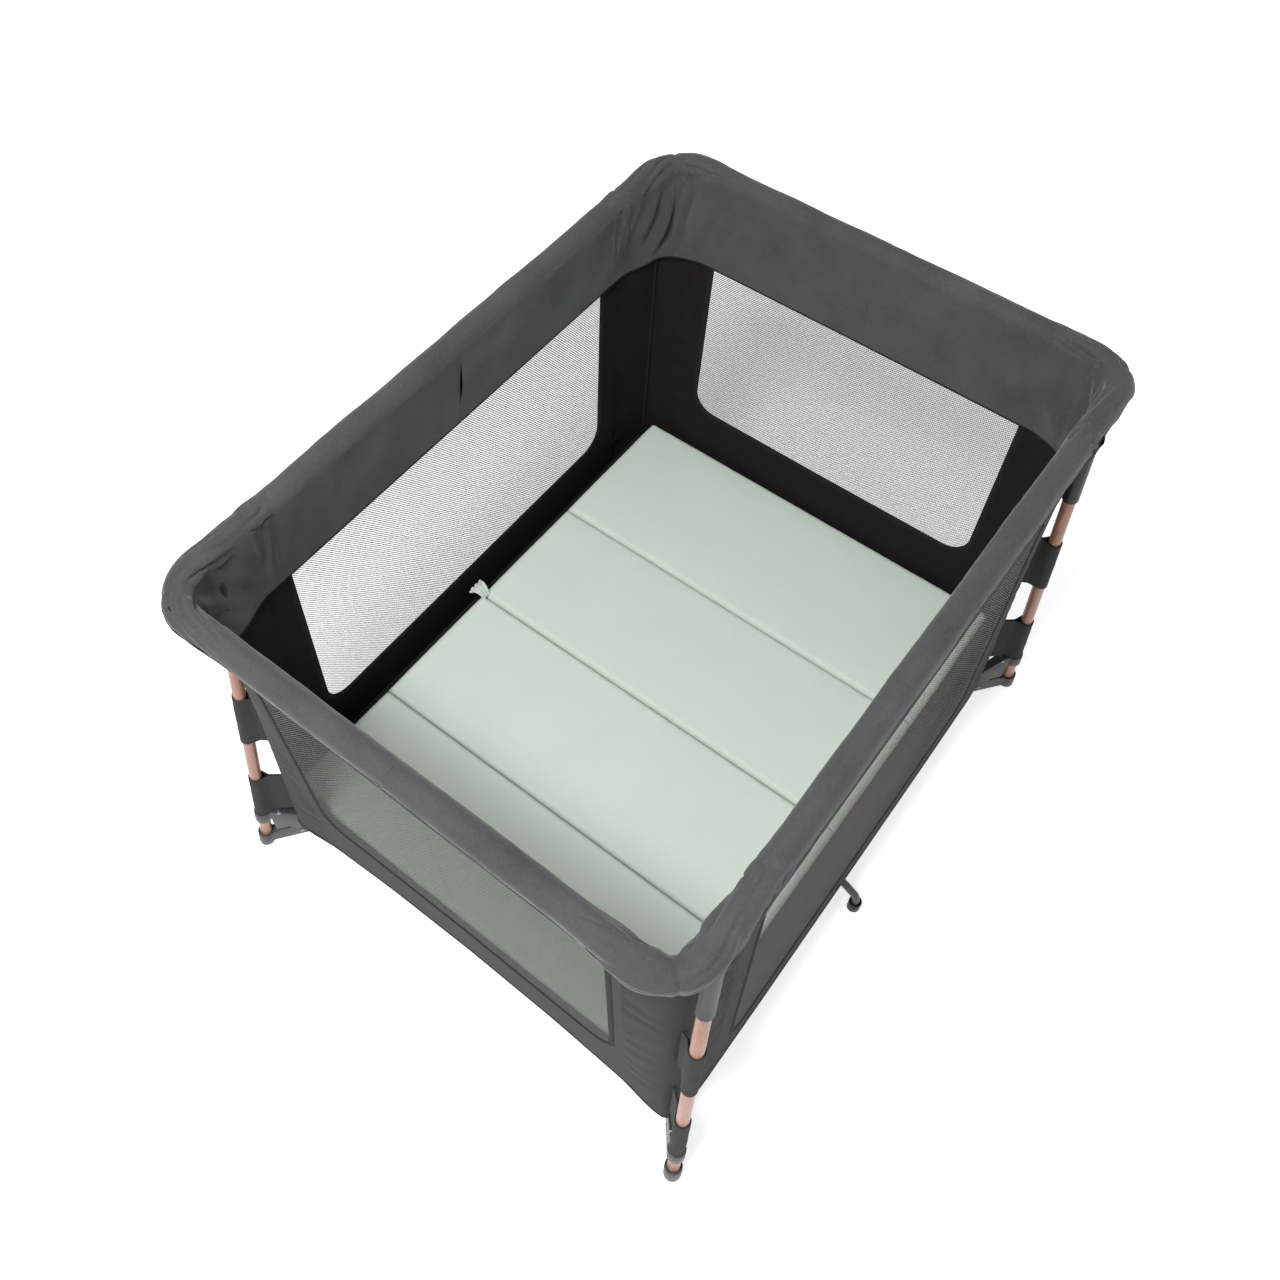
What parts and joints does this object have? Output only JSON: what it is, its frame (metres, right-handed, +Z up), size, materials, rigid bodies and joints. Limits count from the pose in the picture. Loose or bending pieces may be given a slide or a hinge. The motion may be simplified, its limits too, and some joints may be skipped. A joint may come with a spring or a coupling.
{
  "type": "folding playpen",
  "caption": "Rectangular folding playpen with padded top rail, splayed legs, fabric and mesh tub and a fold-up mattress.",
  "frame": {"origin": "on the floor under the middle of the pen", "axes": "+X along the long side, +Y across the short side, +Z up"},
  "size_m": [1.0858, 0.866, 0.7943],
  "materials": {
    "copper_paint": "satin copper-toned paint",
    "steel": "plain steel tube",
    "grey_steel": "grey powder coat",
    "grey_plastic": "matt moulded plastic",
    "black_plastic": "matt moulded plastic",
    "cover_cloth": "woven polyester over padding",
    "tub_cloth": "woven polyester",
    "net_cloth": "open knitted net",
    "mattress_cloth": "smooth woven cover"
  },
  "bodies": {
    "base_hub": {"base_hub": "grey_plastic", "tub_floor": "tub_cloth"},
    "arm_front_left": {"base_arm_front_left": "steel"},
    "leg_front_left": {"foot_bracket_front_left": "grey_plastic", "leg_tube_front_left": "copper_paint", "corner_casting_front_left": "black_plastic", "tub_fabric_front_left": "tub_cloth", "mesh_window_front": "net_cloth"},
    "long_half_front_left": {"long_rail_front_left": "steel", "long_cover_front_left": "cover_cloth"},
    "short_half_front_left": {"short_rail_front_left": "steel", "short_cover_front_left": "cover_cloth"},
    "arm_back_left": {"base_arm_back_left": "steel"},
    "leg_back_left": {"foot_bracket_back_left": "grey_plastic", "leg_tube_back_left": "copper_paint", "corner_casting_back_left": "black_plastic", "tub_fabric_back_left": "tub_cloth", "mesh_window_left": "net_cloth"},
    "long_half_back_left": {"long_rail_back_left": "steel", "long_cover_back_left": "cover_cloth"},
    "short_half_back_left": {"short_rail_back_left": "steel", "short_cover_back_left": "cover_cloth"},
    "arm_front_right": {"base_arm_front_right": "steel"},
    "leg_front_right": {"foot_bracket_front_right": "grey_plastic", "leg_tube_front_right": "copper_paint", "corner_casting_front_right": "black_plastic", "tub_fabric_front_right": "tub_cloth", "mesh_window_right": "net_cloth"},
    "long_half_front_right": {"long_rail_front_right": "steel", "long_cover_front_right": "cover_cloth"},
    "short_half_front_right": {"short_rail_front_right": "steel", "short_cover_front_right": "cover_cloth"},
    "arm_back_right": {"base_arm_back_right": "steel"},
    "leg_back_right": {"foot_bracket_back_right": "grey_plastic", "leg_tube_back_right": "copper_paint", "corner_casting_back_right": "black_plastic", "tub_fabric_back_right": "tub_cloth", "mesh_window_back": "net_cloth"},
    "long_half_back_right": {"long_rail_back_right": "steel", "long_cover_back_right": "cover_cloth"},
    "short_half_back_right": {"short_rail_back_right": "steel", "short_cover_back_right": "cover_cloth"},
    "long_lock_front_body": {"long_lock_front": "black_plastic"},
    "long_button_front_body": {"long_button_front": "grey_plastic"},
    "long_lock_back_body": {"long_lock_back": "black_plastic"},
    "long_button_back_body": {"long_button_back": "grey_plastic"},
    "short_lock_left_body": {"short_lock_left": "black_plastic"},
    "short_button_left_body": {"short_button_left": "grey_plastic"},
    "short_lock_right_body": {"short_lock_right": "black_plastic"},
    "short_button_right_body": {"short_button_right": "grey_plastic"},
    "mid_leg_front_body": {"mid_leg_front": "grey_steel", "mid_foot_front": "black_plastic"},
    "mid_leg_back_body": {"mid_leg_back": "grey_steel", "mid_foot_back": "black_plastic"},
    "panel_1": {"mattress_panel_1": "mattress_cloth"},
    "panel_2": {"mattress_panel_2": "mattress_cloth"},
    "panel_3": {"mattress_panel_3": "mattress_cloth"},
    "panel_4": {"mattress_panel_4": "mattress_cloth"}
  },
  "joints": [
    {"name": "frame_fold", "type": "hinge", "parent": "base_hub", "child": "arm_front_left", "pos_m": [-0.06197, -0.06854, 0.176], "axis": [0.6082, -0.7938, 0], "range_deg": [0, 85], "deforming": ["tub_fabric_front_left", "tub_fabric_back_left", "tub_fabric_front_right", "tub_fabric_back_right", "mesh_window_front", "mesh_window_back", "mesh_window_left", "mesh_window_right", "tub_floor", "long_cover_front_left", "short_cover_front_left", "long_cover_back_left", "short_cover_back_left", "long_cover_front_right", "short_cover_front_right", "long_cover_back_right", "short_cover_back_right", "mattress_panel_1", "mattress_panel_2", "mattress_panel_3", "mattress_panel_4"]},
    {"name": "leg_turn_front_left", "type": "hinge", "parent": "arm_front_left", "child": "leg_front_left", "pos_m": [-0.44697, -0.36354, 0.176], "axis": [0.6082, -0.7938, 0], "range_deg": [-85, 0]},
    {"name": "long_rail_fold_front_left", "type": "hinge", "parent": "leg_front_left", "child": "long_half_front_left", "pos_m": [-0.42, -0.378, 0.7735], "axis": [0, 1, 0], "range_deg": [0, 85]},
    {"name": "short_rail_fold_front_left", "type": "hinge", "parent": "leg_front_left", "child": "short_half_front_left", "pos_m": [-0.5224, -0.33, 0.7735], "axis": [-1, 0, 0], "range_deg": [0, 85]},
    {"name": "arm_fold_back_left", "type": "hinge", "parent": "base_hub", "child": "arm_back_left", "pos_m": [-0.06197, 0.06854, 0.176], "axis": [-0.6082, -0.7938, 0], "range_deg": [0, 85]},
    {"name": "leg_turn_back_left", "type": "hinge", "parent": "arm_back_left", "child": "leg_back_left", "pos_m": [-0.44697, 0.36354, 0.176], "axis": [-0.6082, -0.7938, 0], "range_deg": [-85, 0]},
    {"name": "long_rail_fold_back_left", "type": "hinge", "parent": "leg_back_left", "child": "long_half_back_left", "pos_m": [-0.42, 0.378, 0.7735], "axis": [0, 1, 0], "range_deg": [0, 85]},
    {"name": "short_rail_fold_back_left", "type": "hinge", "parent": "leg_back_left", "child": "short_half_back_left", "pos_m": [-0.5224, 0.33, 0.7735], "axis": [1, 0, 0], "range_deg": [0, 85]},
    {"name": "arm_fold_front_right", "type": "hinge", "parent": "base_hub", "child": "arm_front_right", "pos_m": [0.06197, -0.06854, 0.176], "axis": [0.6082, 0.7938, 0], "range_deg": [0, 85]},
    {"name": "leg_turn_front_right", "type": "hinge", "parent": "arm_front_right", "child": "leg_front_right", "pos_m": [0.44697, -0.36354, 0.176], "axis": [0.6082, 0.7938, 0], "range_deg": [-85, 0]},
    {"name": "long_rail_fold_front_right", "type": "hinge", "parent": "leg_front_right", "child": "long_half_front_right", "pos_m": [0.42, -0.378, 0.7735], "axis": [0, -1, 0], "range_deg": [0, 85]},
    {"name": "short_rail_fold_front_right", "type": "hinge", "parent": "leg_front_right", "child": "short_half_front_right", "pos_m": [0.5224, -0.33, 0.7735], "axis": [-1, 0, 0], "range_deg": [0, 85]},
    {"name": "arm_fold_back_right", "type": "hinge", "parent": "base_hub", "child": "arm_back_right", "pos_m": [0.06197, 0.06854, 0.176], "axis": [-0.6082, 0.7938, 0], "range_deg": [0, 85]},
    {"name": "leg_turn_back_right", "type": "hinge", "parent": "arm_back_right", "child": "leg_back_right", "pos_m": [0.44697, 0.36354, 0.176], "axis": [-0.6082, 0.7938, 0], "range_deg": [-85, 0]},
    {"name": "long_rail_fold_back_right", "type": "hinge", "parent": "leg_back_right", "child": "long_half_back_right", "pos_m": [0.42, 0.378, 0.7735], "axis": [0, -1, 0], "range_deg": [0, 85]},
    {"name": "short_rail_fold_back_right", "type": "hinge", "parent": "leg_back_right", "child": "short_half_back_right", "pos_m": [0.5224, 0.33, 0.7735], "axis": [1, 0, 0], "range_deg": [0, 85]},
    {"name": "long_lock_front_level", "type": "hinge", "parent": "long_half_front_left", "child": "long_lock_front_body", "pos_m": [-0.035, -0.378, 0.7735], "axis": [0, 1, 0], "range_deg": [-85, 0]},
    {"name": "long_button_front_press", "type": "slide", "parent": "long_lock_front_body", "child": "long_button_front_body", "axis": [0, 0, 1], "range_m": [0, 0.0025], "stiffness_N_per_m": 400},
    {"name": "long_lock_back_level", "type": "hinge", "parent": "long_half_back_left", "child": "long_lock_back_body", "pos_m": [-0.035, 0.378, 0.7735], "axis": [0, 1, 0], "range_deg": [-85, 0]},
    {"name": "long_button_back_press", "type": "slide", "parent": "long_lock_back_body", "child": "long_button_back_body", "axis": [0, 0, 1], "range_m": [0, 0.0025], "stiffness_N_per_m": 400},
    {"name": "short_lock_left_level", "type": "hinge", "parent": "short_half_front_left", "child": "short_lock_left_body", "pos_m": [-0.5224, -0.035, 0.7735], "axis": [-1, 0, 0], "range_deg": [-85, 0]},
    {"name": "short_button_left_press", "type": "slide", "parent": "short_lock_left_body", "child": "short_button_left_body", "axis": [0, 0, 1], "range_m": [0, 0.0025], "stiffness_N_per_m": 400},
    {"name": "short_lock_right_level", "type": "hinge", "parent": "short_half_front_right", "child": "short_lock_right_body", "pos_m": [0.5224, -0.035, 0.7735], "axis": [-1, 0, 0], "range_deg": [-85, 0]},
    {"name": "short_button_right_press", "type": "slide", "parent": "short_lock_right_body", "child": "short_button_right_body", "axis": [0, 0, 1], "range_m": [0, 0.0025], "stiffness_N_per_m": 400},
    {"name": "mid_leg_fold_front", "type": "hinge", "parent": "base_hub", "child": "mid_leg_front_body", "pos_m": [-0.016, -0.066, 0.176], "axis": [1, 0, 0], "range_deg": [0, 85]},
    {"name": "mid_leg_fold_back", "type": "hinge", "parent": "base_hub", "child": "mid_leg_back_body", "pos_m": [0.016, 0.066, 0.176], "axis": [-1, 0, 0], "range_deg": [0, 85]},
    {"name": "mattress_fold", "type": "hinge", "parent": "base_hub", "child": "panel_2", "pos_m": [-0.023, 0, 0.2216], "axis": [0, 1, 0], "range_deg": [0, 85]},
    {"name": "mattress_end_left", "type": "hinge", "parent": "panel_2", "child": "panel_1", "pos_m": [-0.2595, 0, 0.194], "axis": [0, -1, 0], "range_deg": [0, 170]},
    {"name": "mattress_half_right", "type": "hinge", "parent": "base_hub", "child": "panel_3", "pos_m": [-0.023, 0, 0.2216], "axis": [0, -1, 0], "range_deg": [0, 85]},
    {"name": "mattress_end_right", "type": "hinge", "parent": "panel_3", "child": "panel_4", "pos_m": [0.209, 0, 0.194], "axis": [0, 1, 0], "range_deg": [0, 170]}
  ],
  "couplings": [
    {"joint": "leg_turn_front_left", "follows": "frame_fold", "ratio": -1},
    {"joint": "long_rail_fold_front_left", "follows": "frame_fold", "ratio": 1},
    {"joint": "short_rail_fold_front_left", "follows": "frame_fold", "ratio": 1},
    {"joint": "arm_fold_back_left", "follows": "frame_fold", "ratio": 1},
    {"joint": "leg_turn_back_left", "follows": "frame_fold", "ratio": -1},
    {"joint": "long_rail_fold_back_left", "follows": "frame_fold", "ratio": 1},
    {"joint": "short_rail_fold_back_left", "follows": "frame_fold", "ratio": 1},
    {"joint": "arm_fold_front_right", "follows": "frame_fold", "ratio": 1},
    {"joint": "leg_turn_front_right", "follows": "frame_fold", "ratio": -1},
    {"joint": "long_rail_fold_front_right", "follows": "frame_fold", "ratio": 1},
    {"joint": "short_rail_fold_front_right", "follows": "frame_fold", "ratio": 1},
    {"joint": "arm_fold_back_right", "follows": "frame_fold", "ratio": 1},
    {"joint": "leg_turn_back_right", "follows": "frame_fold", "ratio": -1},
    {"joint": "long_rail_fold_back_right", "follows": "frame_fold", "ratio": 1},
    {"joint": "short_rail_fold_back_right", "follows": "frame_fold", "ratio": 1},
    {"joint": "long_lock_front_level", "follows": "frame_fold", "ratio": -1},
    {"joint": "long_lock_back_level", "follows": "frame_fold", "ratio": -1},
    {"joint": "short_lock_left_level", "follows": "frame_fold", "ratio": -1},
    {"joint": "short_lock_right_level", "follows": "frame_fold", "ratio": -1},
    {"joint": "mid_leg_fold_front", "follows": "frame_fold", "ratio": 1},
    {"joint": "mid_leg_fold_back", "follows": "frame_fold", "ratio": 1},
    {"joint": "mattress_end_left", "follows": "mattress_fold", "ratio": 2},
    {"joint": "mattress_half_right", "follows": "mattress_fold", "ratio": 1},
    {"joint": "mattress_end_right", "follows": "mattress_fold", "ratio": 1.73}
  ]
}
